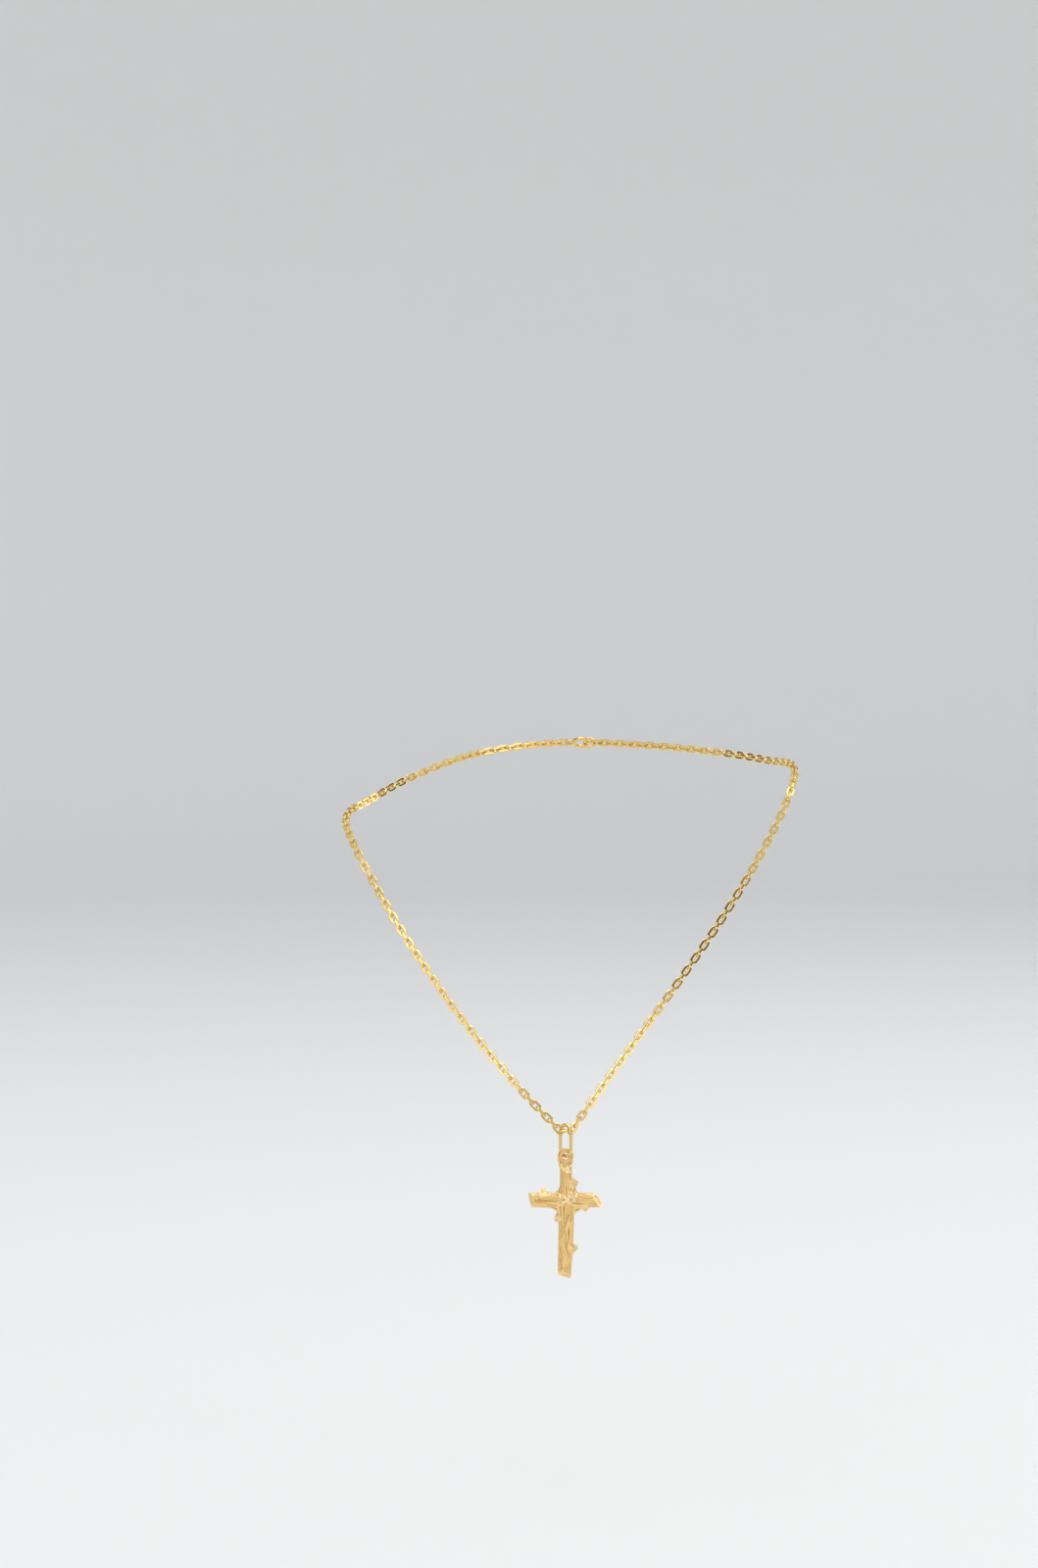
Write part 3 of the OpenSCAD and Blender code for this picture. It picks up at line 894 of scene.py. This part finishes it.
def marks(x, z):
    """Height in mm, groove mask for painted shade, and polished share with painted highlight of the
    split, the pits and the knot.
    """
    lift = mask = 0
    for x1, z1, x2, z2, half_width, depth in MARKS:
        away = distance_to_line(Vector((x, z)), Vector((x1, z1)), Vector((x2, z2)))
        here = 1 - smooth_step(0, 1, away / half_width)
        lift -= depth * here
        mask = max(mask, here)
    aside, below = (x - KNOT_AT[0]) / KNOT_SIZE[0], (KNOT_AT[1] - z) / KNOT_SIZE[1]
    lens = math.hypot(aside, below)
    ring = math.exp(-(((lens - KNOT_GROOVE_AT) / KNOT_GROOVE_WIDTH) ** 2))
    ring *= smooth_step(*KNOT_GROOVE_FADE, below)
    inside = 1 - smooth_step(*KNOT_TOP, lens)
    lift += KNOT_HEIGHT * inside - KNOT_GROOVE * ring
    return lift, max(mask, KNOT_RING_SHADE * ring), inside


print("marks:", len(MARKS), "and a knot")

# %% [markdown]
# Trim and sawn ends keep the pattern off. The distance to each ball and rod says whether a point
# belongs to it. A narrow margin outside it fades the grooves out, so that they don't stop at a
# step.

# %% Distance to the beads, lumps and lashing
CLEAR_MARGIN = 0.14
strand_lines = [strand_places(places) for places in STRANDS]
lump_frames = [lump_seat(*row).inverted() for row in LUMPS]


def trim_clearance(p):
    """0 on a bead, lump or strand, rising to 1 just outside it."""
    clear = 1
    for frame_of_lump in lump_frames:
        away = ((frame_of_lump @ p).length - 1) * LUMP_DEPTH
        clear = min(clear, smooth_step(0, CLEAR_MARGIN, away))
    for line in strand_lines:
        for first, second in zip(line, line[1:]):
            away = distance_to_line(p, first, second) - STRAND_RADIUS
            clear = min(clear, smooth_step(0, CLEAR_MARGIN, away))
    return clear


print("trim that stays clear of bark:", len(lump_frames) + len(strand_lines))

# %% [markdown]
# The distance to a shoot is easiest in the cone's own axes, where the saw's plane is a simple
# slope. The middle of a sawn face sinks to a shallow dish, so that its rim catches the light as
# a worn edge does.

# %% Distance to the shoots
CUT_SKIN = 0.16
SHOOT_RIM = (0.1, 0.5)
shoot_frames = [
    (shoot_seat(x, z, direction).inverted(), length, base, tip)
    for x, z, direction, length, base, tip in SHOOTS]


def shoot_clearance(p):
    """0 on a shoot and 1 outside it, how far the point is into a sawn face, and into its dish."""
    clear, sawn, dish = 1, 0, 0
    for frame_of_shoot, length, base, tip in shoot_frames:
        local = frame_of_shoot @ p
        if -SHOOT_ROOT < local.z < length + 2 * tip:
            share = (local.z + SHOOT_ROOT) / (length + SHOOT_ROOT)
            away = math.hypot(local.x, local.y) - base - (tip - base) * share
            clear = min(clear, smooth_step(0, CLEAR_MARGIN, away))
            under = length + local.y * math.tan(SHOOT_CUT) - local.z
            on_face = 1 - smooth_step(CUT_SKIN * 0.5, CUT_SKIN, abs(under))
            if away < CLEAR_MARGIN:
                sawn = max(sawn, on_face)
                dish = max(dish, on_face * smooth_step(*SHOOT_RIM, -away))
    return clear, sawn, dish


print("shoots with a sawn face:", len(shoot_frames))

# %% [markdown]
# The ends of the logs are slanted planes, and their faces are dished in the same way. Slow noise
# makes one part of a dish deeper than another, as a saw and long wear leave it.

# %% Distance to the ends of the logs
END_RIM = (0.55, 0.95)
DISH_UNEVEN = 1.2
DISH_SCALE = 1.7


def end_clearance(table, cuts, end, along, across, up):
    """Distance in mm from a log's slanted end face, inwards."""
    limit = table[end][0] + cuts[end][0] * across + cuts[end][1] * up
    return (along - limit) if end == 0 else (limit - along)


def end_dish(across, half, up):
    """1 in the middle of a log's sawn end and 0 on its rim."""
    depth = (up - LOG_DEPTH * (FRONT_SHARE - 0.5)) / (LOG_DEPTH / 2)
    return 1 - smooth_step(*END_RIM, math.hypot(across / half, depth))


def uneven(p):
    """Slow noise round 1, for dishes that aren't worn evenly."""
    return 1 + DISH_UNEVEN * noise.noise(p * DISH_SCALE)


print("share of the dish near the rim:", round(end_dish(1.5, 2, 0), 3))

# %% [markdown]
# The bark is now worked out for a point of the cross. The point is unrolled from each log, and
# near the diagonals of the crossing it gets a share of both patterns.

# %% Bark at a point
SWAP_BAND = 0.12
STEM_SEED = 3.1
ARM_SEED = 71.7
UNROLL_CENTRE = 1.2
UNROLL_DEPTH = 2.6
UNROLL_STRETCH = 1.25


def log_places(p):
    """Half width, place across and place along for the stem and for the arm."""
    stem_along, arm_along = -p.z - STEM_TOP, p.x
    stem = (read_table(STEM, 1, stem_along), p.x, stem_along)
    arm = (read_table(ARM, 1, arm_along), p.z + ARM_DEPTH, arm_along)
    return stem, arm


def bark_at(p):
    """Height in mm, groove mask for painted shade, and polished share with painted highlight of the
    marks and of both logs' bark.
    """
    lift, mask, knot_polish_and_highlight = marks(p.x, p.z)
    stem, arm = log_places(p)
    on_arm = smooth_step(-SWAP_BAND, SWAP_BAND, abs(stem[1]) / stem[0] - abs(arm[1]) / arm[0])
    shares = ((1 - on_arm, STEM_SEED, stem), (on_arm, ARM_SEED, arm))
    for share, seed, (half, across, along) in shares:
        if share > 0:
            turn = math.atan2(across / half, (UNROLL_CENTRE - p.y) / UNROLL_DEPTH)
            height, line = bark(half * turn * UNROLL_STRETCH, along, seed)
            lift += share * height
            mask = max(mask, share * line)
    return lift, mask, knot_polish_and_highlight


print("bark height at the stem's middle in mm:", round(bark_at(Vector((0, -1.5, -22)))[0], 3))

# %% [markdown]
# The nearest end decides whether a point lies on a log's sawn face. That face then splits into
# its dish and its rim.

# %% Ends at a point
ARM_ENDS = (0, -1)  # first and last row of the arm's table
END_FADE = (CUT_SKIN * 0.4, CUT_SKIN * 1.6)


def ends_at(p):
    """1 on a sawn end and 0 off it, and the shares of the end's dish and rim."""
    (stem_half, stem_across, stem_along), (arm_half, arm_across, arm_along) = log_places(p)
    stem_end = end_clearance(STEM, STEM_CUTS, -1, stem_along, stem_across, -p.y)
    arm_end = min(
        end_clearance(ARM, ARM_CUTS, end, arm_along, arm_across, -p.y) for end in ARM_ENDS)
    on_end = 1 - smooth_step(*END_FADE, min(stem_end, arm_end))
    at_foot = stem_end < arm_end
    across, half = (stem_across, stem_half) if at_foot else (arm_across, arm_half)
    hollow = end_dish(across, half, -p.y)
    return on_end, on_end * hollow, on_end * (1 - hollow)


print("sawn share at the middle of the stem:", ends_at(Vector((0, -1.5, -22)))[0])

# %% [markdown]
# Every point of the skin gets its height, pushed along its own normal, and its masks: groove,
# which the finish paints as shade; cut for all sawn faces, which it paints a little paler as a
# highlight; and proud for what a cloth polishes first, such as beads, lashing, sawn shoots and worn
# rims, which it makes smoother and paints with a highlight. The dish of a sawn face adds painted
# shade and takes some of that highlight away. The masks are stored as layers of the bmesh, which
# become attributes that the finish reads. The back of the cross stays smooth.

# %% Cut the bark into the skin
SWELL = 0.05
BACK_FADE = (-0.5, 0.1)
LUMP_HEIGHT = 0.07
LUMP_SCALE = 0.8
LUMP_NOISE = (1, 2, 3)  # increment, lacunarity and octaves
SHOOT_LUMPS = 0.2
SHOOT_LUMP_SCALE = 1.5
DISH_DEPTH = 0.09
DISH_SHADE = 0.1
DISH_DULLER = 0.5
RIM_POLISH_AND_HIGHLIGHT = 0.28
SHOOT_POLISH_AND_HIGHLIGHT = 0.6
groove_layer = bm.verts.layers.float.new("groove")
cut_layer = bm.verts.layers.float.new("cut")
proud_polish_and_highlight_layer = bm.verts.layers.float.new("proud_polish_and_highlight")
bm.normal_update()

moves = []
for point in bm.verts:
    p = point.co
    lift, mask, knot_polish_and_highlight = bark_at(p)
    on_end, end_hollow, rim = ends_at(p)
    off_trim = trim_clearance(p)
    off_shoot, sawn, shoot_hollow = shoot_clearance(p)
    clear = smooth_step(*BACK_FADE, -point.normal.y) * (1 - on_end) * off_trim * off_shoot
    lump = noise.fractal(p * LUMP_SCALE, *LUMP_NOISE) * LUMP_HEIGHT * (1 - on_end)
    lump += noise.noise(p * SHOOT_LUMP_SCALE) * SHOOT_LUMPS * (1 - off_shoot)
    # Painted shade: grooves and dishes go into the groove mask. Polish and painted highlight:
    # beads, lashing, sawn shoots, rims and the knot go into the proud mask
    dish = max(shoot_hollow, end_hollow) * uneven(p)
    worn_and_highlit = max(SHOOT_POLISH_AND_HIGHLIGHT * (sawn - DISH_DULLER * dish), RIM_POLISH_AND_HIGHLIGHT * rim)
    point[groove_layer] = max(mask * clear, DISH_SHADE * dish)
    point[cut_layer] = max(on_end, sawn)
    point[proud_polish_and_highlight_layer] = max(1 - off_trim, worn_and_highlit, knot_polish_and_highlight * clear)
    moves.append((lift * clear + lump + SWELL - DISH_DEPTH * dish) * point.normal)
for point, move in zip(bm.verts, moves):
    point.co += move
print("bark cut; deepest move in mm:", round(max(m.length for m in moves), 3))

# %% [markdown]
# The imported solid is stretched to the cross's outer width and height, so the skin is fitted to
# the same box before it becomes an object.

# %% Fit the skin to the solid's box and make the piece
lows = [min(v.co[k] for v in bm.verts) for k in (0, 2)]
highs = [max(v.co[k] for v in bm.verts) for k in (0, 2)]
box_low = (cross_low - LOOP_AT) / MM
box_high = (cross_high - LOOP_AT) / MM
stem_top = -STEM_TOP
wide = (box_high.x - box_low.x) / (highs[0] - lows[0])
tall = (stem_top - box_low.z) / (stem_top - lows[1])
for point in bm.verts:
    point.co.x = box_low.x + (point.co.x - lows[0]) * wide
    point.co.z = stem_top - (stem_top - point.co.z) * tall
print("fitted by", round(wide, 3), "and", round(tall, 3))
cross_skin = finish_mesh("cross_bark", bm, LOOP_AT)
for piece in (cross_skin, cross_loop):
    piece.data.materials.append(cast_gold.material)
    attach(piece, "cross")
    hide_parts("cross_pendant")
